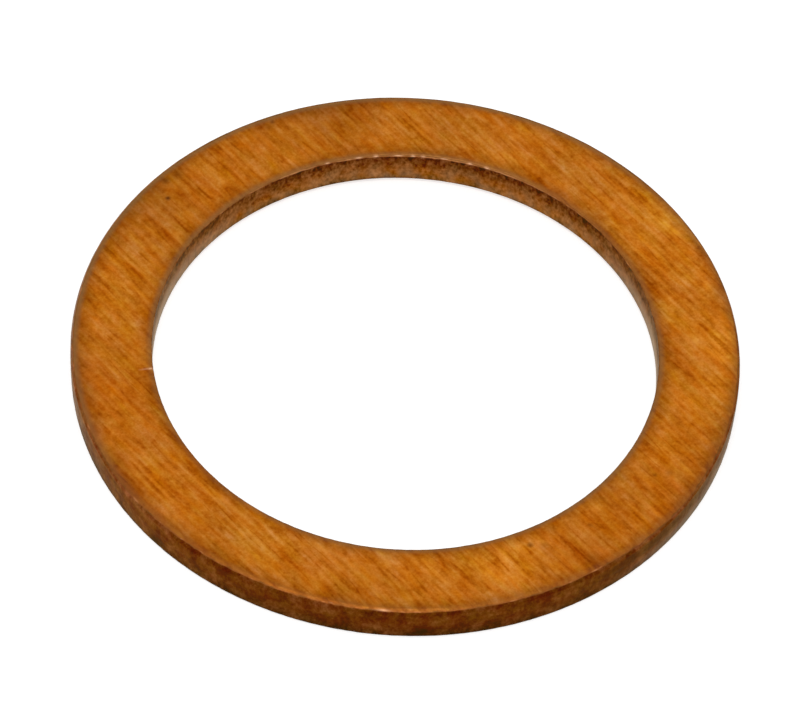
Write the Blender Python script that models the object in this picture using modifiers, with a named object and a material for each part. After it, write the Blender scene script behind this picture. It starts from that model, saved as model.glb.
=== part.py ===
"""A flat copper crush washer: the soft sealing ring that goes under a threaded plug.

It lies on its lower face, with the origin at the centre of that face and +Z up. Units are metres.

The ring was blanked out of soft copper strip by one punch, and its bore was pierced by another from the other
face. A sheared edge has three zones, one below the other: a corner that the tool drew in and rolled over, a
bright land that it cut square, and a break-out that tore away on a slant. Tumbling then took the burr off the
last corner. The ring's rim has its rolled corner on top. The bore has the same edge turned over.
"""

import math

import bmesh
import bpy

MM = 0.001

BORE_DIAMETER = 21.1 * MM  # slips over a G 1/2 thread
RING_WIDTH = 3.45 * MM  # from the bore to the rim, which makes the ring 28 mm across
THICKNESS = 1.60 * MM

ROLL_WIDTH = 0.34 * MM  # how far the rolled corner reaches in over the face
ROLL_DEPTH = 0.22 * MM  # and down the wall
LAND_HEIGHT = 0.50 * MM  # the square, bright part of the wall
BREAK_OUT = 0.045 * MM  # how far the torn part of the wall falls back by its end
TUMBLED_RADIUS = 0.07 * MM  # the corner where the burr was

RING_STEPS = 180
ROLL_STEPS = 5
TUMBLED_STEPS = 3

COPPER_COLOUR = (0.49, 0.145, 0.012, 1.0)
COPPER_ROUGHNESS = 0.38


def clear_scene():
    for thing in list(bpy.data.objects):
        bpy.data.objects.remove(thing, do_unlink=True)


def copper_material():
    """Soft copper with a warm tarnish, dull from tumbling."""
    material = bpy.data.materials.new("annealed_copper")
    material.use_nodes = True
    shader = material.node_tree.nodes["Principled BSDF"]
    shader.inputs["Base Color"].default_value = COPPER_COLOUR
    shader.inputs["Metallic"].default_value = 1.0
    shader.inputs["Roughness"].default_value = COPPER_ROUGHNESS
    material.diffuse_color = COPPER_COLOUR
    return material


def corner(centre, width, height, first, last, steps):
    """Points along an elliptical corner of the section, from one angle to the other, in degrees."""
    points = []
    for step in range(steps + 1):
        angle = math.radians(first + (last - first) * step / steps)
        points.append((centre[0] + width * math.cos(angle), centre[1] + height * math.sin(angle)))
    return points


def sheared_edge(radius, thickness):
    """The rim's edge as (radius, height) points, from the upper face down the wall to the lower face."""
    roll_centre = (radius - ROLL_WIDTH, thickness - ROLL_DEPTH)
    tumbled_centre = (radius - BREAK_OUT - TUMBLED_RADIUS, TUMBLED_RADIUS)
    land_end = (radius, thickness - ROLL_DEPTH - LAND_HEIGHT)
    return [
        *corner(roll_centre, ROLL_WIDTH, ROLL_DEPTH, 90, 0, ROLL_STEPS),
        land_end,
        *corner(tumbled_centre, TUMBLED_RADIUS, TUMBLED_RADIUS, 0, -90, TUMBLED_STEPS),
    ]


def ring_section():
    """The closed section: the rim's edge, then the same edge turned over for the bore."""
    bore_radius = BORE_DIAMETER / 2
    rim_radius = bore_radius + RING_WIDTH
    rim = sheared_edge(rim_radius, THICKNESS)
    bore = [(rim_radius + bore_radius - r, THICKNESS - z) for r, z in rim]
    return rim + bore


def section_mesh(name, section):
    """The section as a closed loop of edges in the XZ plane."""
    outline = bmesh.new()
    corners = [outline.verts.new((r, 0.0, z)) for r, z in section]
    for start, end in zip(corners, corners[1:] + corners[:1]):
        outline.edges.new((start, end))
    mesh = bpy.data.meshes.new(name)
    outline.to_mesh(mesh)
    outline.free()
    return mesh


def turn_round_axis(ring):
    """Sweeps the section once round Z and closes the seam."""
    turn = ring.modifiers.new("turn", "SCREW")
    turn.axis = "Z"
    turn.angle = 2 * math.pi
    turn.steps = RING_STEPS
    turn.render_steps = RING_STEPS
    turn.use_merge_vertices = True
    turn.merge_threshold = 0.001 * MM
    turn.use_smooth_shade = True


def keep_faces_flat(ring):
    """Smooth corners would shade the wide flat faces as well, so the widest faces set the normals."""
    normals = ring.modifiers.new("flat_faces", "WEIGHTED_NORMAL")
    normals.mode = "FACE_AREA"
    normals.weight = 100


def crush_washer(collection):
    ring = bpy.data.objects.new("crush_washer", section_mesh("crush_washer", ring_section()))
    collection.objects.link(ring)
    turn_round_axis(ring)
    keep_faces_flat(ring)
    ring.data.materials.append(copper_material())
    return ring


def main():
    clear_scene()
    collection = bpy.data.collections.new("copper_crush_washer")
    bpy.context.scene.collection.children.link(collection)
    crush_washer(collection)


main()
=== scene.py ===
import math

import bmesh
import bpy
from mathutils import Matrix, Vector, noise


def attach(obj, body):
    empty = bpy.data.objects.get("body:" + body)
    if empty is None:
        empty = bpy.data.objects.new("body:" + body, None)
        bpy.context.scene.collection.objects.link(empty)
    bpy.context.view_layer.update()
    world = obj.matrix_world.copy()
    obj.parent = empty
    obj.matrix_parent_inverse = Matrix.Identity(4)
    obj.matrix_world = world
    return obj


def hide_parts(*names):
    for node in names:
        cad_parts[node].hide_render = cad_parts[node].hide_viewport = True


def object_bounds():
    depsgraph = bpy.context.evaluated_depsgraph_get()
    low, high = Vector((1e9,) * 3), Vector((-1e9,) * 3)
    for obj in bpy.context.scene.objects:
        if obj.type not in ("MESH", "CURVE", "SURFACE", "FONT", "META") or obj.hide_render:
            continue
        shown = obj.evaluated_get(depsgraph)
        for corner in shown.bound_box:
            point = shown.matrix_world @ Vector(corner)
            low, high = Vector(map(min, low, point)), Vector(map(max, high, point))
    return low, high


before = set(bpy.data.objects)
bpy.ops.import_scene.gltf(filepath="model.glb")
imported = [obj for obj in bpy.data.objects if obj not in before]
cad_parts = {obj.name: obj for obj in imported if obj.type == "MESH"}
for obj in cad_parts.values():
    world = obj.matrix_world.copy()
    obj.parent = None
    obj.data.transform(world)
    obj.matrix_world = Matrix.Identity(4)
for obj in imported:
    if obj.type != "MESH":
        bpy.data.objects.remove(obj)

# A flat copper sealing ring on a white table, all in metres.
# The loaded frame is the exact ring. The piece made here stands for it, with worn corners, sheared walls and
# grain.

mm = 0.001
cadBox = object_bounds()
rimRadius = cadBox[1].x
ringHeight = cadBox[1].z
noiseRange = (0.25, 0.75)  # holds nearly all that a noise texture gives


def hexColour(code, alpha=1.0):
    # sRGB hex to the linear values that the shaders take
    parts = [int(code[i:i + 2], 16) / 255 for i in (1, 3, 5)]
    linear = [c / 12.92 if c <= 0.04045 else ((c + 0.055) / 1.055) ** 2.4 for c in parts]
    return (*linear, alpha)


def addNode(tree, kind, inputs=(), stops=(), **settings):
    # inputs takes a socket's name or number to a value, or to the output that feeds it. A ramp's colours come
    # as stops.
    node = tree.nodes.new(kind)
    if stops:
        ramp = node.color_ramp
        while len(ramp.elements) < len(stops):
            ramp.elements.new(1.0)
        for element, (at, colour) in zip(ramp.elements, stops):
            element.position = at
            element.color = hexColour(colour)
    for name, value in settings.items():
        setattr(node, name, value)
    for socket, value in dict(inputs).items():
        if isinstance(value, bpy.types.NodeSocket):
            tree.links.new(value, node.inputs[socket])
        else:
            node.inputs[socket].default_value = value
    return node


def smoothStep(low, high, value):
    share = min(max((value - low) / (high - low), 0.0), 1.0)
    return share * share * (3 - 2 * share)


# Camera: a long lens that looks down at 51 degrees and is held a little askew

shot = {
    "frameWidth": 800,  # pixels
    "focalLength": 10595,  # pixels
    "sensor": 36.0,  # mm
    "distance": 444.5 * mm,
    "elevation": 50.69,  # degrees
    "roll": 3.63,
    "target": (-0.23 * mm, 1.14 * mm, 0.0),
    "clipping": (10 * mm, 20.0),
}


def makeCamera():
    data = bpy.data.cameras.new("camera")
    data.sensor_width = shot["sensor"]
    data.lens = shot["focalLength"] / shot["frameWidth"] * shot["sensor"]
    data.clip_start, data.clip_end = shot["clipping"]
    camera = bpy.data.objects.new("camera", data)
    bpy.context.scene.collection.objects.link(camera)
    turn = Matrix.Rotation(math.radians(90 - shot["elevation"]), 4, "X")
    turn = turn @ Matrix.Rotation(math.radians(shot["roll"]), 4, "Z")
    back = turn @ Vector((0.0, 0.0, shot["distance"]))
    camera.matrix_world = Matrix.Translation(Vector(shot["target"]) + back) @ turn
    bpy.context.scene.camera = camera
    print("camera in place")


# Ring: the section of the blank, turned and then worn

ring = {
    "boreRadius": 10.55 * mm,
    "rollWidth": 0.34 * mm,  # the corner that the tool drew in, on top at the rim and below at the bore
    "rollDepth": 0.22 * mm,
    "landHeight": 0.50 * mm,  # the band that was cut square
    "breakOut": 0.045 * mm,  # how far the torn part of the wall falls back
    "tumbledRadius": 0.07 * mm,
    "rollSegments": 13,
    "tumbledSegments": 6,
    "faceMargin": 0.16 * mm,  # finer strip of the face beside each corner
    "marginSpacing": 0.09 * mm,
    "faceSpacing": 0.50 * mm,
    "wallSpacing": 0.08 * mm,
    "longest": 1.0 * mm,  # edges longer than this lie in the open face
    "mergeDistance": 0.001 * mm,
    "sectors": 12,
    "stepsPerSector": 88,
}


def makeSection(shape):
    # a closed loop whose four corners are then rounded
    bore = ring["boreRadius"]
    top = ringHeight
    landEnd = ring["rollDepth"] + ring["landHeight"]
    rollEnd = ring["rollWidth"] + ring["faceMargin"]
    tumbledEnd = ring["breakOut"] + ring["tumbledRadius"] + ring["faceMargin"]
    places = [
        (rimRadius - rollEnd, top), (rimRadius, top), (rimRadius, top - landEnd),
        (rimRadius - ring["breakOut"], 0.0), (rimRadius - tumbledEnd, 0.0),
        (bore + rollEnd, 0.0), (bore, 0.0), (bore, landEnd),
        (bore + ring["breakOut"], top), (bore + tumbledEnd, top),
    ]
    corners = [shape.verts.new((x, 0.0, z)) for x, z in places]
    for start, end in zip(corners, corners[1:] + corners[:1]):
        shape.edges.new((start, end))
    bmesh.ops.bevel(shape, geom=[corners[3], corners[8]], offset=ring["tumbledRadius"],
                    offset_type="OFFSET", segments=ring["tumbledSegments"], profile=0.5, affect="VERTICES",
                    material=-1)
    for corner, level in ((corners[1], top), (corners[6], 0.0)):
        rounded = bmesh.ops.bevel(shape, geom=[corner], offset=ring["rollWidth"], offset_type="OFFSET",
                                  segments=ring["rollSegments"], profile=0.5, affect="VERTICES", material=-1)
        flatter = (1.0, 1.0, ring["rollDepth"] / ring["rollWidth"])
        fromFace = Matrix.Translation((0.0, 0.0, -level))
        bmesh.ops.scale(shape, vec=flatter, space=fromFace, verts=rounded["verts"])
    for edge in shape.edges[:]:
        long = edge.calc_length()
        onFace = abs(edge.verts[0].co.z - edge.verts[1].co.z) < ring["mergeDistance"]
        spacing = ring["wallSpacing"]
        if onFace:
            spacing = ring["marginSpacing"] if long < ring["longest"] else ring["faceSpacing"]
        cuts = int(long / spacing)
        if cuts:
            bmesh.ops.subdivide_edges(shape, edges=[edge], cuts=cuts)


def turnSection(shape):
    # one sector is spun, and its copies close the ring
    angle = 2 * math.pi / ring["sectors"]
    bmesh.ops.spin(shape, geom=shape.verts[:] + shape.edges[:], cent=(0, 0, 0), axis=(0, 0, 1),
                   angle=angle, steps=ring["stepsPerSector"])
    sector = shape.verts[:] + shape.edges[:] + shape.faces[:]
    for number in range(1, ring["sectors"]):
        copied = bmesh.ops.duplicate(shape, geom=sector)["geom"]
        verts = [part for part in copied if isinstance(part, bmesh.types.BMVert)]
        bmesh.ops.rotate(shape, cent=(0, 0, 0), matrix=Matrix.Rotation(number * angle, 3, "Z"), verts=verts)
    bmesh.ops.remove_doubles(shape, verts=shape.verts[:], dist=ring["mergeDistance"])
    bmesh.ops.recalc_face_normals(shape, faces=shape.faces[:])
    shape.normal_update()


# Wear: what shearing, tumbling and handling did, always into the metal

wear = {
    "flutePitch": 0.30 * mm,  # upright tool marks on the walls
    "fluteDepth": 0.010 * mm,
    "tearPitch": 0.22 * mm,  # rougher tearing on the break-out
    "tearDepth": 0.012 * mm,
    "wobblePitch": 1.6 * mm,  # uneven corners
    "wobbleDepth": 0.030 * mm,
    "chipPitch": 0.35 * mm,
    "chipDepth": 0.012 * mm,
    "fluteStretch": 0.12,  # makes the tool marks long up the wall
    "landBlend": 0.1 * mm,
    "wallUpright": (0.1, 0.9),  # how upright the surface is where the wall begins, and where it is all wall
    "cornerUpright": (0.0, 0.35),  # and the same where a corner begins and where it ends
    "cornerEnd": (0.75, 1.0),
    "tarnishPitch": 2.5 * mm,  # a slow change of the faces' colour all round
    "tarnishDepth": 0.10,
}

# dents rubbed bright: angle round the ring in degrees, then radius, height, half the length along the edge,
# half the width and depth in mm, and how bright each was rubbed
dents = [
    (-91.0, 13.83, 1.57, 0.24, 0.040, 0.008, 0.50),
    (-100.0, 13.82, 1.58, 0.08, 0.022, 0.004, 0.15),
    (111.0, 10.62, 1.575, 0.08, 0.030, 0.010, 1.0),
    (103.6, 10.62, 1.575, 0.13, 0.030, 0.012, 1.0),
    (99.6, 10.62, 1.575, 0.09, 0.040, 0.015, 1.0),
    (94.5, 10.62, 1.575, 0.16, 0.025, 0.008, 1.0),
    (91.1, 10.62, 1.575, 0.08, 0.035, 0.012, 1.0),
    (88.8, 10.62, 1.575, 0.08, 0.035, 0.015, 1.0),
    (84.0, 10.62, 1.575, 0.14, 0.025, 0.008, 1.0),
    (77.9, 10.62, 1.575, 0.08, 0.035, 0.012, 1.0),
    (73.9, 10.62, 1.575, 0.10, 0.035, 0.015, 1.0),
    (-169.8, 10.72, 1.60, 0.04, 0.110, 0.020, 1.0),
]

# areas where the face is paler, darker or redder, paler to the right and darker to the upper left: angle in
# degrees, radius and reach in mm, and what they add to the shares of red, green and blue
faceTones = [
    (6.0, 14.6, 3.2, (0.38, 0.40, -0.10)),
    (14.0, 11.4, 2.0, (0.11, 0.13, 0.05)),
    (32.0, 15.0, 6.0, (0.20, 0.24, 0.20)),
    (36.0, 10.7, 1.4, (0.14, 0.20, 0.20)),
    (38.0, 13.6, 2.4, (0.08, 0.18, 0.30)),
    (86.0, 12.5, 2.0, (-0.10, -0.11, -0.12)),
    (109.0, 14.2, 4.5, (-0.30, -0.33, -0.26)),
    (145.0, 14.2, 4.2, (-0.22, -0.21, -0.12)),
    (157.0, 10.7, 1.5, (-0.10, -0.16, -0.16)),
    (173.0, 12.4, 2.6, (0.10, 0.11, 0.00)),
    (196.0, 14.2, 5.0, (-0.08, -0.20, -0.38)),
    (217.0, 14.2, 2.9, (-0.09, -0.23, -0.40)),
    (242.0, 12.2, 2.8, (0.07, 0.16, 0.30)),
    (262.0, 13.8, 2.0, (-0.14, -0.18, -0.28)),
    (278.0, 12.0, 1.8, (0.07, 0.13, 0.10)),
    (293.0, 12.1, 1.9, (0.19, 0.25, 0.08)),
    (307.0, 13.1, 2.5, (-0.11, -0.24, -0.45)),
    (327.0, 14.2, 4.0, (-0.05, -0.14, -0.27)),
    (337.0, 11.6, 2.0, (0.08, 0.10, 0.05)),
    (353.0, 12.6, 2.0, (0.10, 0.14, 0.00)),
]

# The walls' colour from side to side, as the photo shows it. Much of it is painted light and shade: a painted
# sheen, glow, bands of painted shade and a painted highlight; the tan is tarnish and painted shade.
# A pair says where a change begins and where it is complete. Heights are in metres, and the other pairs say
# how far to the back, the right or the upper left a spot lies, from -1 to 1.
skinAndLight = {
    "upLeft": (-0.7, 1.0),  # a direction across the ring, and about how long it is
    "upLeftLength": 1.22,
    "rightHalf": (-0.3, 0.3),
    "paintedSheenShare": 0.78,  # painted sheen, pale grey on the walls to the left and right
    "rimSheenLeft": 0.42,
    "rimSheenLeftFrom": (-0.3, 0.1),
    "rimSheenRight": 0.5,
    "rimSheenRightFrom": (-0.8, -0.45),
    "rimSheenHeights": (0.25 * mm, 0.85 * mm),
    "rimSheenThin": 0.6,  # how much less of it there is towards the back
    "rimSheenThinFrom": (-0.35, -0.1),
    "rimSheenEnd": (0.3, 0.8),
    "rollSheen": 0.05,
    "rollLit": 1.15 * mm,  # above this height the rolled corner is paler as painted light, and a little higher at the right
    "rollLitRight": 0.15 * mm,
    "rollLitSides": (0.55, 0.8),
    "rollBlend": 0.25 * mm,
    # painted light: glow brightens the roll at the sides and the rim's wall at the left
    "rollGlow": 0.5,
    "rimGlowLeft": 0.2,
    "rimGlowLeftFrom": (0.3, 0.8),
    "rimGlowEnd": (-0.5, -0.3),
    "rimShadeRight": 0.4,  # painted shade in a band half way up
    "rimShadeRightFrom": (0.5, 0.8),
    "rimBandBelow": (0.6 * mm, 0.9 * mm),
    "rimBandAbove": (1.2 * mm, 1.45 * mm),
    "lapSides": (0.6, 0.85),  # where the walls' colour, with its painted shade, laps over the corner at the left and right
    "rimHighlight": 0.25,  # a painted highlight on the crest at the front
    "rimHighlightFrom": (0.5, 0.95),
    "rimTarnishAndShade": (0.22, 0.6),  # tan beside the corner: tarnish everywhere, and painted shade more up and left
    "rimShadeFrom": (-0.3, 0.7),
    "boreSheenSides": (0.1, 0.8),
    "boreSheenHeights": (0.45 * mm, 1.3 * mm),
    "boreShade": 0.35,
    "boreShadeSides": (0.1, 0.5),
    "boreShadeHeights": (0.7 * mm, 1.1 * mm),
    "boreWearAndHighlight": (0.2, 0.7),  # the crest worn all round, and a painted highlight at the back
    "boreHighlightFrom": (0.3, 0.95),
    "boreTarnishAndShade": (0.38, 0.4, 0.25),  # tarnish everywhere, and painted shade down and right and up and left
    "boreShadeRightFrom": (0.0, 0.9),
    "boreShadeLeftFrom": (0.3, 0.7),
}


def softNoise(place, pitch):
    # from 0 to 1, with features about one pitch wide
    return 0.5 + 0.5 * noise.noise(place / pitch)


def rimSkinAndLight(height, towards, sideways, upLeft):
    # towards is 1 at the back and -1 at the front, and sideways is 1 at the right and -1 at the left
    # the rim's painted sheen, painted light and shade, painted highlight, and tan that is tarnish and painted
    # shade
    right = smoothStep(*skinAndLight["rightHalf"], sideways)
    # painted sheen: the rim's wall pale grey at its left and right, less towards the back
    leftSheen = skinAndLight["rimSheenLeft"] * smoothStep(*skinAndLight["rimSheenLeftFrom"], towards)
    thinned = 1 - skinAndLight["rimSheenThin"] * smoothStep(*skinAndLight["rimSheenThinFrom"], towards)
    rightSheen = smoothStep(*skinAndLight["rimSheenRightFrom"], towards) * thinned
    rightSheen *= skinAndLight["rimSheenRight"] * (1 - smoothStep(*skinAndLight["rimSheenHeights"], height))
    paintedSheen = leftSheen + right * (rightSheen - leftSheen)
    paintedSheen *= 1 - smoothStep(*skinAndLight["rimSheenEnd"], towards)
    # painted light on the roll at the sides, above a height
    lit = skinAndLight["rollLit"] + skinAndLight["rollLitRight"] * right
    onRoll = smoothStep(*skinAndLight["rollLitSides"], abs(sideways))
    onRoll *= smoothStep(lit, lit + skinAndLight["rollBlend"], height)
    band = smoothStep(*skinAndLight["rimBandBelow"], height) * (1 - smoothStep(*skinAndLight["rimBandAbove"], height))
    # painted light at the left, and a band of painted shade at the right
    leftGlow = skinAndLight["rimGlowLeft"] * smoothStep(*skinAndLight["rimGlowLeftFrom"], -sideways)
    leftGlow *= 1 - smoothStep(*skinAndLight["rimGlowEnd"], towards)
    rightShade = skinAndLight["rimShadeRight"] * smoothStep(*skinAndLight["rimShadeRightFrom"], sideways)
    tarnishAndShade, shadeMore = skinAndLight["rimTarnishAndShade"]
    return {
        "paintedSheen": skinAndLight["paintedSheenShare"] * max(paintedSheen, skinAndLight["rollSheen"] * onRoll),
        "glow": 1 + leftGlow + (skinAndLight["rollGlow"] * onRoll - rightShade * band),
        "lap": smoothStep(*skinAndLight["lapSides"], abs(sideways)),
        "wearAndHighlight": skinAndLight["rimHighlight"] * smoothStep(*skinAndLight["rimHighlightFrom"], -towards),
        "tarnishAndShade": tarnishAndShade + shadeMore * smoothStep(*skinAndLight["rimShadeFrom"], upLeft),
    }


def boreSkinAndLight(height, towards, upLeft):
    # painted sheen: the bore pale grey at its left and right, low down
    atSides = 1 - smoothStep(*skinAndLight["boreSheenSides"], abs(towards))
    # painted shade: the bore darker high up at its sides
    shaded = 1 - smoothStep(*skinAndLight["boreShadeSides"], abs(towards))
    shaded *= smoothStep(*skinAndLight["boreShadeHeights"], height)
    # the crest worn all round, with a painted highlight at the back
    wearAndHighlight, highlightMore = skinAndLight["boreWearAndHighlight"]
    # tan tarnish all round, with painted shade down and right and up and left
    tarnishAndShade, shadeRight, shadeLeft = skinAndLight["boreTarnishAndShade"]
    tarnishAndShade += shadeRight * smoothStep(*skinAndLight["boreShadeRightFrom"], -upLeft)
    tarnishAndShade += shadeLeft * smoothStep(*skinAndLight["boreShadeLeftFrom"], upLeft)
    return {
        "paintedSheen": skinAndLight["paintedSheenShare"] * atSides * (1 - smoothStep(*skinAndLight["boreSheenHeights"], height)),
        "glow": 1 - skinAndLight["boreShade"] * shaded,
        "lap": 0.0,
        "wearAndHighlight": wearAndHighlight + highlightMore * smoothStep(*skinAndLight["boreHighlightFrom"], towards),
        "tarnishAndShade": tarnishAndShade,
    }


def wallSkinAndLight(place, atRim):
    radius = math.hypot(place.x, place.y)
    towards, sideways = place.y / radius, place.x / radius
    across, along = skinAndLight["upLeft"]
    upLeft = (along * place.y + across * place.x) / radius / skinAndLight["upLeftLength"]
    if atRim:
        return rimSkinAndLight(place.z, towards, sideways, upLeft)
    return boreSkinAndLight(place.z, towards, upLeft)


def dentMarks():
    marks = []
    for angle, radius, height, halfLength, halfWidth, depth, bright in dents:
        turn = math.radians(angle)
        centre = Vector((radius * math.cos(turn), radius * math.sin(turn), height)) * mm
        along = Vector((-math.sin(turn), math.cos(turn), 0.0))
        marks.append((centre, along, halfLength * mm, halfWidth * mm, depth * mm, bright))
    return marks


def faceToneAreas():
    areas = []
    for angle, radius, reach, change in faceTones:
        turn = math.radians(angle)
        centre = Vector((radius * math.cos(turn) * mm, radius * math.sin(turn) * mm, ringHeight))
        areas.append((centre, reach * mm, Vector(change)))
    return areas


def wallWear(place, upright, atRim):
    # how far shearing and tumbling took the surface in, which grows where it stands upright
    landEnd = ring["rollDepth"] + ring["landHeight"]
    fromRoll = ringHeight - place.z if atRim else place.z
    wall = smoothStep(*wear["wallUpright"], upright)
    corner = smoothStep(*wear["cornerUpright"], upright) * (1 - smoothStep(*wear["cornerEnd"], upright))
    torn = wall * smoothStep(landEnd - wear["landBlend"], landEnd + wear["landBlend"], fromRoll)
    flute = softNoise(Vector((place.x, place.y, place.z * wear["fluteStretch"])), wear["flutePitch"])
    inward = wall * wear["fluteDepth"] * flute
    inward += torn * wear["tearDepth"] * softNoise(place, wear["tearPitch"])
    inward += corner * wear["wobbleDepth"] * softNoise(place, wear["wobblePitch"])
    inward += corner * wear["chipDepth"] * softNoise(place, wear["chipPitch"]) ** 2
    return inward


def wearRing(shape):
    names = ("upright", "rubbed", "paintedSheen", "wearAndHighlight", "tarnishAndShade", "glow", "lap")
    layers = {name: shape.verts.layers.float.new(name) for name in names}
    tint = shape.verts.layers.float_vector.new("tint")
    middle = (ring["boreRadius"] + rimRadius) / 2
    marks = dentMarks()
    areas = faceToneAreas()
    moves = []
    for vertex in shape.verts:
        place = vertex.co.copy()
        normal = vertex.normal.copy()
        atRim = math.hypot(place.x, place.y) > middle
        upright = math.hypot(normal.x, normal.y)
        inward = wallWear(place, upright, atRim)
        rubbed = 0.0
        for centre, along, halfLength, halfWidth, depth, bright in marks:
            away = place - centre
            lengthways = away.dot(along)
            across = (away - lengthways * along).length
            near = math.exp(-(lengthways / halfLength) ** 2 - (across / halfWidth) ** 2)
            inward += depth * near
            rubbed = max(rubbed, bright * near)
        slow = 2 * softNoise(place, wear["tarnishPitch"]) - 1
        hue = Vector((1.0, 1.0, 1.0)) * (1 + wear["tarnishDepth"] * slow)
        for centre, reach, change in areas:
            hue += change * (1 - smoothStep(0.0, reach, (place - centre).length))
        vertex[layers["upright"]] = upright
        vertex[layers["rubbed"]] = rubbed
        vertex[tint] = hue
        # painted sheen, light, shade and highlight, with tan tarnish, by place round the ring
        for name, value in wallSkinAndLight(place, atRim).items():
            vertex[layers[name]] = value
        moves.append((vertex, normal * -inward))
    for vertex, move in moves:
        vertex.co += move


def makeRing():
    shape = bmesh.new()
    makeSection(shape)
    print("section:", len(shape.verts), "points")
    turnSection(shape)
    wearRing(shape)
    mesh = bpy.data.meshes.new("washer")
    shape.to_mesh(mesh)
    shape.free()
    mesh.shade_smooth()
    washer = bpy.data.objects.new("washer", mesh)
    bpy.context.scene.collection.objects.link(washer)
    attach(washer, "root")
    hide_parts("crush_washer")
    print("ring:", len(mesh.polygons), "faces")
    return washer


# Finish: annealed copper strip. The faces were rubbed on abrasive in one direction, which leaves straight
# parallel lines. The walls were sheared, which leaves a browner, mottled skin; their colour also holds
# painted shade, a painted sheen at the sides and painted light, and the crest a painted highlight. The
# corners are tarnished tan, with more of the tan as painted shade in some directions.

copper = {
    "grainAngle": 132.5,  # degrees round from +X
    # width of the lines in mm, how many times longer than wide, and how strong
    "grainLines": ((0.36, 6, 0.34), (0.17, 11, 0.53)),
    # fine scratches: distance apart in mm, how many times longer, how thin, and how strong
    "scratches": ((0.55, 9, 0.055, 0.19), (0.32, 12, 0.085, 0.08)),
    "breakWidth": 0.9,  # mm, where the scratches stop and start
    "breakRange": (0.38, 0.58),
    "mottle": (0.6, 4, 1.0, 1.1),  # mm, octaves, how much of each the next keeps, strength
    "grainRange": (-0.55, 0.45),  # of all that added up, from the darkest colour to the palest
    "faceColours": ((0.10, "#984902"), (0.36, "#AF600F"), (0.52, "#BA6C1A"), (0.90, "#CF8433")),
    "wanderWidth": 0.7,  # mm, how uneven every soft border is, and how far it strays
    "wanderReach": 0.16,
    "faceMiddle": 12.245,  # mm, the radius at which the face is palest
    "dimmingOffset": 0.08,  # mm to the right
    "dimmingRange": (0.8, 1.7),  # mm to each side of the middle
    "edgeDimming": (0.39, 0.44, 0.46),
    # how far red, green and blue stray from patch to patch and the patches' width in mm, then blue alone
    "drifts": (((0.0, 0.72, 2.8), 0.6), ((0.0, 0.0, 2.6), 0.75)),
    "driftStretch": 0.4,
    # darker spots on the face: angle in degrees, radius and reach in mm, and share
    "spots": ((144.6, 12.78, 0.20, 1.00), (141.6, 13.50, 0.30, 0.60), (139.0, 13.35, 0.40, 0.35),
              (117.6, 13.53, 0.18, 0.70), (118.5, 13.30, 0.35, 0.30), (-60.6, 11.46, 0.22, 0.60),
              (-58.0, 11.75, 0.28, 0.25), (-47.4, 11.88, 0.22, 0.35), (-28.9, 12.15, 0.18, 0.40),
              (-27.0, 12.60, 0.28, 0.30), (-52.0, 13.30, 0.50, 0.30)),
    "spotBrown": "#5C2A08",
    "spotRagged": 0.2,  # share of the borders' straying
    # colours of the walls from the lower face to the upper one, in mm: a browner sheared skin, darkened all
    # over with painted shade, the rim darker at its foot, and the bore darker high up and paler low down as
    # painted shade and light
    "rimColours": ((0.10, "#472305"), (0.35, "#552704"), (0.65, "#5E2900"), (1.05, "#632F00"),
                   (1.35, "#612E00"), (1.50, "#602E00")),
    "boreColours": ((0.10, "#684728"), (0.35, "#82552B"), (0.60, "#8D5728"), (0.90, "#7D481B"),
                    (1.15, "#6B390F"), (1.40, "#5C2901"), (1.54, "#542300")),
    "patchWidth": 0.7,  # mm, blotches on the walls, a little taller than wide
    "patchStretch": 0.8,
    "speckleWidth": 0.15,  # mm, fine specks that run up the wall
    "speckleStretch": 0.75,
    "speckleShare": (0.62, 0.10),  # in the bore and at the rim, as in the next two
    "paleShare": (1.0, 0.84),
    "fleckShare": (0.2, 1.6),  # how much the palest blotches gain
    "wallMottle": (0.46, 0.212, 0.080),  # what a pale patch of the walls adds to them, in linear values
    "wallDrift": (0.0, 0.85, 3.6),  # how far their colours stray, and the patches' width in mm
    "wallDriftWidth": 0.6,
    "paintedSheen": "#9C9184",  # their painted sheen, pale grey
    "wallDarkest": "#341A05",
    # the walls' colour begins here: the face's middle radius at its upper corners, and half the width, in mm
    "edgeMiddle": 12.22,
    "edgeReach": 1.645,
    "raggedWidth": 0.30,  # mm, how ragged that line is, and by how much
    "raggedReach": 0.018,
    "lapIn": 0.06,  # mm, how far the walls' colour and its painted shade lap over the corner, inwards and up
    "lapUp": 0.12,
    # mm inwards from that line at which each share begins and is whole
    "tanRange": (0.36, 0.04),
    "crestRange": (0.07, 0.02),
    "beyondRange": (0.02, -0.02),
    "steepRange": (0.70, 0.95),  # how upright the surface is where the walls' colour takes over
    "belowRange": (1.56, 1.50),  # and the height in mm
    "edgeTan": "#85603A",
    "crestColours": ((0.30, "#74471E"), (0.50, "#915324"), (0.74, "#CA8A58")),  # by how worn it is and how much painted highlight it carries
    "wornWidth": 0.8,  # mm
    "highlightWeight": 0.24,
    "wornLess": 0.12,
    "rubbedPink": "#E8B48C",  # bare copper in the dents
    "edgeTint": "#E7D7BF",  # what the metal mirrors at a slant, a tarnished skin being less white there
    "dullRange": (-0.4, 0.4),  # of the grain
    "roughness": (0.50, 0.34),  # in its darkest lines and on its palest
    "reliefDepth": 0.006,  # mm
}


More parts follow.
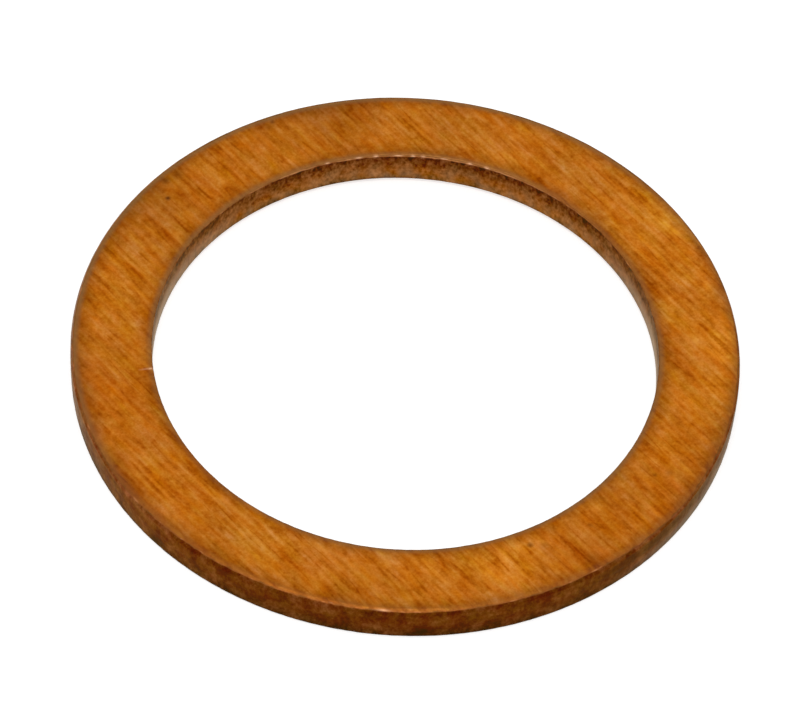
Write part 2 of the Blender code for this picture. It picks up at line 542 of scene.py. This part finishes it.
def grainPattern(tree, place, turned):
    # broken scratches, lines of two widths and an even mottle, added up around 0
    total = 0.0
    low, high = copper["breakRange"]
    broken = addNode(tree, "ShaderNodeTexNoise", {
        "Vector": place, "Scale": 1 / (copper["breakWidth"] * mm), "Detail": 2.0,
        "Roughness": 0.8}).outputs["Fac"]
    broken = addNode(tree, "ShaderNodeMapRange", {
        "Value": broken, "From Min": low, "From Max": high}).outputs[0]
    for apart, stretch, thin, strength in copper["scratches"]:
        longer = addNode(tree, "ShaderNodeMapping", {
            "Vector": turned, "Scale": (1 / stretch, 1, 1)}).outputs[0]
        waves = addNode(tree, "ShaderNodeTexNoise", {
            "Vector": longer, "Scale": 1 / (apart * mm), "Detail": 1.0, "Roughness": 0.6}).outputs["Fac"]
        fromLine = addNode(tree, "ShaderNodeMath", {0: waves, 1: 0.5}, operation="SUBTRACT").outputs[0]
        fromLine = addNode(tree, "ShaderNodeMath", {0: fromLine}, operation="ABSOLUTE").outputs[0]
        line = addNode(tree, "ShaderNodeMapRange", {
            "Value": fromLine, "From Min": thin, "From Max": 0.0, "To Max": -strength},
            interpolation_type="SMOOTHSTEP").outputs[0]
        total = addNode(tree, "ShaderNodeMath", {
            0: line, 1: broken, 2: total}, operation="MULTIPLY_ADD").outputs[0]
    for width, stretch, strength in copper["grainLines"]:
        longer = addNode(tree, "ShaderNodeMapping", {
            "Vector": turned, "Scale": (1 / stretch, 1, 1)}).outputs[0]
        lines = addNode(tree, "ShaderNodeTexNoise", {
            "Vector": longer, "Scale": 1 / (width * mm), "Detail": 0.0}).outputs["Fac"]
        centred = addNode(tree, "ShaderNodeMath", {0: lines, 1: 0.5}, operation="SUBTRACT").outputs[0]
        total = addNode(tree, "ShaderNodeMath", {
            0: centred, 1: strength, 2: total}, operation="MULTIPLY_ADD").outputs[0]
    width, octaves, keep, strength = copper["mottle"]
    mottle = addNode(tree, "ShaderNodeTexNoise", {
        "Vector": place, "Scale": 1 / (width * mm), "Detail": octaves - 1.0,
        "Roughness": keep}).outputs["Fac"]
    centred = addNode(tree, "ShaderNodeMath", {0: mottle, 1: 0.5}, operation="SUBTRACT").outputs[0]
    return addNode(tree, "ShaderNodeMath", {
        0: centred, 1: strength, 2: total}, operation="MULTIPLY_ADD").outputs[0]


def borderWander(tree, place):
    # how far every soft border strays, in metres
    low, high = noiseRange
    reach = copper["wanderReach"] * mm
    blotch = addNode(tree, "ShaderNodeTexNoise", {
        "Vector": place, "Scale": 1 / (copper["wanderWidth"] * mm), "Detail": 3.0,
        "Roughness": 0.65}).outputs["Fac"]
    return addNode(tree, "ShaderNodeMapRange", {
        "Value": blotch, "From Min": low, "From Max": high, "To Min": -reach, "To Max": reach}).outputs[0]


def dimEdges(tree, face, flat, wander):
    # the face darkens towards both of its edges
    offCentre = (copper["dimmingOffset"] * mm, 0.0, 0.0)
    low, high = copper["dimmingRange"]
    away = addNode(tree, "ShaderNodeVectorMath", {
        0: flat, 1: offCentre}, operation="DISTANCE").outputs["Value"]
    away = addNode(tree, "ShaderNodeMath", {
        0: away, 1: copper["faceMiddle"] * mm}, operation="SUBTRACT").outputs[0]
    away = addNode(tree, "ShaderNodeMath", {0: away}, operation="ABSOLUTE").outputs[0]
    away = addNode(tree, "ShaderNodeMath", {0: away, 1: wander}, operation="ADD").outputs[0]
    share = addNode(tree, "ShaderNodeMapRange", {
        "Value": away, "From Min": low * mm, "From Max": high * mm},
        interpolation_type="SMOOTHSTEP").outputs[0]
    dimming = addNode(tree, "ShaderNodeVectorMath", {
        0: share, 1: [-part for part in copper["edgeDimming"]], 2: (1, 1, 1)},
        operation="MULTIPLY_ADD").outputs[0]
    return addNode(tree, "ShaderNodeVectorMath", {0: face, 1: dimming}, operation="MULTIPLY").outputs[0]


def faceColour(tree, place, flat, turned, shade, wander):
    face = addNode(tree, "ShaderNodeValToRGB", {"Fac": shade}, copper["faceColours"]).outputs["Color"]
    face = dimEdges(tree, face, flat, wander)
    tint = addNode(tree, "ShaderNodeAttribute", attribute_name="tint").outputs["Vector"]
    face = addNode(tree, "ShaderNodeVectorMath", {0: face, 1: tint}, operation="MULTIPLY").outputs[0]
    longer = addNode(tree, "ShaderNodeMapping", {
        "Vector": turned, "Scale": (copper["driftStretch"], 1, 1)}).outputs[0]
    for drift, width in copper["drifts"]:
        stray = addNode(tree, "ShaderNodeTexNoise", {
            "Vector": longer, "Scale": 1 / (width * mm), "Detail": 2.0, "Roughness": 0.8}).outputs["Fac"]
        stray = addNode(tree, "ShaderNodeVectorMath", {
            0: stray, 1: drift, 2: [1 - part / 2 for part in drift]}, operation="MULTIPLY_ADD").outputs[0]
        face = addNode(tree, "ShaderNodeVectorMath", {0: face, 1: stray}, operation="MULTIPLY").outputs[0]
    for angle, radius, reach, share in copper["spots"]:
        turn = math.radians(angle)
        centre = (radius * math.cos(turn) * mm, radius * math.sin(turn) * mm, ringHeight)
        away = addNode(tree, "ShaderNodeVectorMath", {
            0: place, 1: centre}, operation="DISTANCE").outputs["Value"]
        away = addNode(tree, "ShaderNodeMath", {
            0: wander, 1: copper["spotRagged"], 2: away}, operation="MULTIPLY_ADD").outputs[0]
        spot = addNode(tree, "ShaderNodeMapRange", {
            "Value": away, "From Min": reach * mm, "From Max": 0.0, "To Max": share},
            interpolation_type="SMOOTHSTEP").outputs[0]
        face = addNode(tree, "ShaderNodeMix", {
            0: spot, 6: face, 7: hexColour(copper["spotBrown"])}, data_type="RGBA").outputs[2]
    return face


def paleBlotches(tree, place, patches, outside):
    # how much paler each patch and speck of the walls is, and the palest gain most
    streaked = addNode(tree, "ShaderNodeMapping", {
        "Vector": place, "Scale": (1, 1, copper["speckleStretch"])}).outputs[0]
    speckle = addNode(tree, "ShaderNodeTexNoise", {
        "Vector": streaked, "Scale": 1 / (copper["speckleWidth"] * mm), "Detail": 1.0,
        "Roughness": 0.6}).outputs["Fac"]
    speckle = addNode(tree, "ShaderNodeMath", {0: speckle, 1: 0.5}, operation="SUBTRACT").outputs[0]
    shares = []
    for name in ("speckleShare", "paleShare", "fleckShare"):
        atBore, atRim = copper[name]
        shares.append(addNode(tree, "ShaderNodeMapRange", {
            "Value": outside, "To Min": atBore, "To Max": atRim}).outputs[0])
    pale = addNode(tree, "ShaderNodeMath", {0: patches, 1: 0.5}, operation="SUBTRACT").outputs[0]
    pale = addNode(tree, "ShaderNodeMath", {
        0: speckle, 1: shares[0], 2: pale}, operation="MULTIPLY_ADD").outputs[0]
    pale = addNode(tree, "ShaderNodeMath", {0: pale, 1: shares[1]}, operation="MULTIPLY").outputs[0]
    fleck = addNode(tree, "ShaderNodeMath", {0: pale, 1: shares[2]}, operation="MULTIPLY").outputs[0]
    return addNode(tree, "ShaderNodeMath", {0: pale, 1: fleck, 2: pale}, operation="MULTIPLY_ADD").outputs[0]


def wallColour(tree, place, height, radius, patches, wander):
    level = addNode(tree, "ShaderNodeMath", {0: height, 1: wander}, operation="ADD").outputs[0]
    level = addNode(tree, "ShaderNodeMath", {0: level, 1: ringHeight}, operation="DIVIDE").outputs[0]
    # the walls' colours by height hold painted shade as well as their browner skin
    sides = []
    for name in ("boreColours", "rimColours"):
        stops = [(at * mm / ringHeight, colour) for at, colour in copper[name]]
        sides.append(addNode(tree, "ShaderNodeValToRGB", {"Fac": level}, stops).outputs["Color"])
    outside = addNode(tree, "ShaderNodeMath", {
        0: radius, 1: copper["faceMiddle"] * mm}, operation="GREATER_THAN").outputs[0]
    wall = addNode(tree, "ShaderNodeMix", {
        0: outside, 6: sides[0], 7: sides[1]}, data_type="RGBA").outputs[2]
    drift = copper["wallDrift"]
    stray = addNode(tree, "ShaderNodeTexNoise", {
        "Vector": place, "Scale": 1 / (copper["wallDriftWidth"] * mm), "Detail": 1.0,
        "Roughness": 0.4}).outputs["Fac"]
    stray = addNode(tree, "ShaderNodeVectorMath", {
        0: stray, 1: drift, 2: [1 - part / 2 for part in drift]}, operation="MULTIPLY_ADD").outputs[0]
    pale = paleBlotches(tree, place, patches, outside)
    pale = addNode(tree, "ShaderNodeVectorMath", {
        0: copper["wallMottle"], 3: pale}, operation="SCALE").outputs[0]
    wall = addNode(tree, "ShaderNodeVectorMath", {
        0: wall, 1: stray, 2: pale}, operation="MULTIPLY_ADD").outputs[0]
    # painted sheen: the walls turn pale grey at their left and right
    paintedSheen = addNode(tree, "ShaderNodeAttribute", attribute_name="paintedSheen").outputs["Fac"]
    wall = addNode(tree, "ShaderNodeMix", {
        0: paintedSheen, 6: wall, 7: hexColour(copper["paintedSheen"])}, data_type="RGBA").outputs[2]
    # painted light and shade: glow brightens or darkens the walls
    glow = addNode(tree, "ShaderNodeAttribute", attribute_name="glow").outputs["Fac"]
    wall = addNode(tree, "ShaderNodeVectorMath", {0: wall, 3: glow}, operation="SCALE").outputs[0]
    return addNode(tree, "ShaderNodeVectorMath", {
        0: wall, 1: hexColour(copper["wallDarkest"])[:3]}, operation="MAXIMUM").outputs[0]


def cornerShares(tree, place, height, radius):
    # how much of the tan edge, the worn crest and the walls a point has, by its distance from a ragged line
    low, high = noiseRange
    reach = copper["raggedReach"] * mm
    ragged = addNode(tree, "ShaderNodeTexNoise", {
        "Vector": place, "Scale": 1 / (copper["raggedWidth"] * mm), "Detail": 2.0,
        "Roughness": 0.6}).outputs["Fac"]
    ragged = addNode(tree, "ShaderNodeMapRange", {
        "Value": ragged, "From Min": low, "From Max": high, "To Min": -reach, "To Max": reach}).outputs[0]
    away = addNode(tree, "ShaderNodeMath", {
        0: radius, 1: copper["edgeMiddle"] * mm}, operation="SUBTRACT").outputs[0]
    away = addNode(tree, "ShaderNodeMath", {0: away}, operation="ABSOLUTE").outputs[0]
    away = addNode(tree, "ShaderNodeMath", {
        0: copper["edgeReach"] * mm, 1: away}, operation="SUBTRACT").outputs[0]
    away = addNode(tree, "ShaderNodeMath", {0: away, 1: ragged}, operation="ADD").outputs[0]
    lap, tarnishAndShade, upright = [
        addNode(tree, "ShaderNodeAttribute", attribute_name=name).outputs["Fac"]
        for name in ("lap", "tarnishAndShade", "upright")]
    # lap carries the walls' painted shade over the corner at the left and right
    away = addNode(tree, "ShaderNodeMath", {
        0: lap, 1: copper["lapIn"] * mm, 2: away}, operation="MULTIPLY_ADD").outputs[0]
    level = addNode(tree, "ShaderNodeMath", {0: height, 1: ragged}, operation="ADD").outputs[0]
    level = addNode(tree, "ShaderNodeMath", {
        0: lap, 1: copper["lapUp"] * mm, 2: level}, operation="MULTIPLY_ADD").outputs[0]
    shares = []
    # the tan's share is tarnish all round plus painted shade that changes round the ring
    for name, value, unit, most in (
            ("tanRange", away, mm, tarnishAndShade), ("crestRange", away, mm, 1.0), ("beyondRange", away, mm, 1.0),
            ("steepRange", upright, 1.0, 1.0), ("belowRange", level, mm, 1.0)):
        low, high = copper[name]
        shares.append(addNode(tree, "ShaderNodeMapRange", {
            "Value": value, "From Min": low * unit, "From Max": high * unit, "To Max": most},
            interpolation_type="SMOOTHSTEP").outputs[0])
    tan, crest, beyond, steep, below = shares
    steep = addNode(tree, "ShaderNodeMath", {0: steep, 1: below}, operation="MINIMUM").outputs[0]
    wall = addNode(tree, "ShaderNodeMath", {0: beyond, 1: steep}, operation="MAXIMUM").outputs[0]
    return tan, crest, wall


def crestColour(tree, place):
    wornAndLit = addNode(tree, "ShaderNodeTexNoise", {
        "Vector": place, "Scale": 1 / (copper["wornWidth"] * mm), "Detail": 2.0,
        "Roughness": 0.7}).outputs["Fac"]
    # wear and a painted highlight: the crest paler at the rim's front and the bore's back
    wearAndHighlight = addNode(tree, "ShaderNodeAttribute", attribute_name="wearAndHighlight").outputs["Fac"]
    wornAndLit = addNode(tree, "ShaderNodeMath", {
        0: wearAndHighlight, 1: copper["highlightWeight"], 2: wornAndLit}, operation="MULTIPLY_ADD").outputs[0]
    wornAndLit = addNode(tree, "ShaderNodeMath", {0: wornAndLit, 1: copper["wornLess"]}, operation="SUBTRACT").outputs[0]
    return addNode(tree, "ShaderNodeValToRGB", {"Fac": wornAndLit}, copper["crestColours"]).outputs["Color"]


def copperFinish():
    material = bpy.data.materials.new("abradedAnnealedCopper")
    material.use_nodes = True
    tree = material.node_tree
    tree.nodes.clear()
    place = addNode(tree, "ShaderNodeTexCoord").outputs["Object"]
    height = addNode(tree, "ShaderNodeSeparateXYZ", {0: place}).outputs["Z"]
    flat = addNode(tree, "ShaderNodeVectorMath", {0: place, 1: (1, 1, 0)}, operation="MULTIPLY").outputs[0]
    radius = addNode(tree, "ShaderNodeVectorMath", {0: flat}, operation="LENGTH").outputs["Value"]
    turned = addNode(tree, "ShaderNodeMapping", {
        "Vector": place, "Rotation": (0.0, 0.0, -math.radians(copper["grainAngle"]))}).outputs[0]
    wander = borderWander(tree, place)
    grain = grainPattern(tree, place, turned)
    darkest, palest = copper["grainRange"]
    shade = addNode(tree, "ShaderNodeMapRange", {
        "Value": grain, "From Min": darkest, "From Max": palest}).outputs[0]
    squashed = addNode(tree, "ShaderNodeMapping", {
        "Vector": place, "Scale": (1, 1, copper["patchStretch"])}).outputs[0]
    patches = addNode(tree, "ShaderNodeTexNoise", {
        "Vector": squashed, "Scale": 1 / (copper["patchWidth"] * mm), "Detail": 4.0,
        "Roughness": 0.82}).outputs["Fac"]

    tanShare, crestShare, wallShare = cornerShares(tree, place, height, radius)
    colour = faceColour(tree, place, flat, turned, shade, wander)
    rubbed = addNode(tree, "ShaderNodeAttribute", attribute_name="rubbed").outputs["Fac"]
    for share, over in (
            (tanShare, hexColour(copper["edgeTan"])), (crestShare, crestColour(tree, place)),
            (wallShare, wallColour(tree, place, height, radius, patches, wander)),
            (rubbed, hexColour(copper["rubbedPink"]))):
        colour = addNode(tree, "ShaderNodeMix", {
            0: share, 6: colour, 7: over}, data_type="RGBA").outputs[2]

    low, high = copper["dullRange"]
    dullest, smoothest = copper["roughness"]
    dull = addNode(tree, "ShaderNodeMapRange", {
        "Value": grain, "From Min": low, "From Max": high, "To Min": dullest, "To Max": smoothest}).outputs[0]
    relief = addNode(tree, "ShaderNodeMix", {0: wallShare, 2: shade, 3: patches}).outputs[0]
    bump = addNode(tree, "ShaderNodeBump", {
        "Height": relief, "Strength": 1.0, "Distance": copper["reliefDepth"] * mm}).outputs[0]
    shader = addNode(tree, "ShaderNodeBsdfPrincipled", {
        "Base Color": colour, "Metallic": 1.0, "Roughness": dull, "Normal": bump,
        "Specular Tint": hexColour(copper["edgeTint"])})
    addNode(tree, "ShaderNodeOutputMaterial", {"Surface": shader.outputs[0]})
    print("finish ready")
    return material


# Studio: a white table and a white surround, with one wide lamp overhead

studio = {
    "tableSize": 3.0,
    "surround": 0.9,  # light from all round
    "tableColour": "#CFCFCF",
    "tableLift": 0.62,  # brings the table to white where it is seen or mirrored
    "lampSize": 0.25,
    "lampPlace": (-0.05, -0.16, 0.62),
    "lampPower": 0.5,
}


def seenDirectly(tree):
    # 1 for the camera and for what metal or glass mirrors, 0 for light that falls on things
    path = addNode(tree, "ShaderNodeLightPath")
    either = addNode(tree, "ShaderNodeMath", {
        0: path.outputs["Is Camera Ray"], 1: path.outputs["Is Glossy Ray"]}, operation="MAXIMUM")
    return addNode(tree, "ShaderNodeMath", {
        0: either.outputs[0], 1: path.outputs["Is Transmission Ray"]}, operation="MAXIMUM").outputs[0]


def makeWorld():
    world = bpy.data.worlds.new("whiteSurround")
    world.use_nodes = True
    tree = world.node_tree
    tree.nodes.clear()
    strength = addNode(tree, "ShaderNodeMix", {0: seenDirectly(tree), 2: studio["surround"], 3: 1.0})
    light = addNode(tree, "ShaderNodeBackground", {"Color": (1, 1, 1, 1), "Strength": strength.outputs[0]})
    addNode(tree, "ShaderNodeOutputWorld", {"Surface": light.outputs[0]})
    bpy.context.scene.world = world


def makeTable():
    shape = bmesh.new()
    bmesh.ops.create_grid(shape, x_segments=1, y_segments=1, size=studio["tableSize"] / 2)
    mesh = bpy.data.meshes.new("table")
    shape.to_mesh(mesh)
    shape.free()
    table = bpy.data.objects.new("table", mesh)
    bpy.context.scene.collection.objects.link(table)
    material = bpy.data.materials.new("mattWhiteCard")
    material.use_nodes = True
    tree = material.node_tree
    tree.nodes.clear()
    card = addNode(tree, "ShaderNodeBsdfDiffuse", {"Color": hexColour(studio["tableColour"])})
    lift = addNode(tree, "ShaderNodeMath", {
        0: seenDirectly(tree), 1: studio["tableLift"]}, operation="MULTIPLY")
    glow = addNode(tree, "ShaderNodeEmission", {"Color": (1, 1, 1, 1), "Strength": lift.outputs[0]})
    sheet = addNode(tree, "ShaderNodeAddShader", {0: card.outputs[0], 1: glow.outputs[0]})
    addNode(tree, "ShaderNodeOutputMaterial", {"Surface": sheet.outputs[0]})
    mesh.materials.append(material)


def makeLamp():
    data = bpy.data.lights.new("softbox", "AREA")
    data.size = studio["lampSize"]
    data.energy = studio["lampPower"]
    lamp = bpy.data.objects.new("softbox", data)
    bpy.context.scene.collection.objects.link(lamp)
    place = Vector(studio["lampPlace"])
    lamp.matrix_world = Matrix.Translation(place) @ place.to_track_quat("Z", "Y").to_matrix().to_4x4()


bpy.context.scene.view_settings.view_transform = "Standard"
makeCamera()
washer = makeRing()
washer.data.materials.append(copperFinish())
makeWorld()
makeTable()
makeLamp()
print("studio lit")
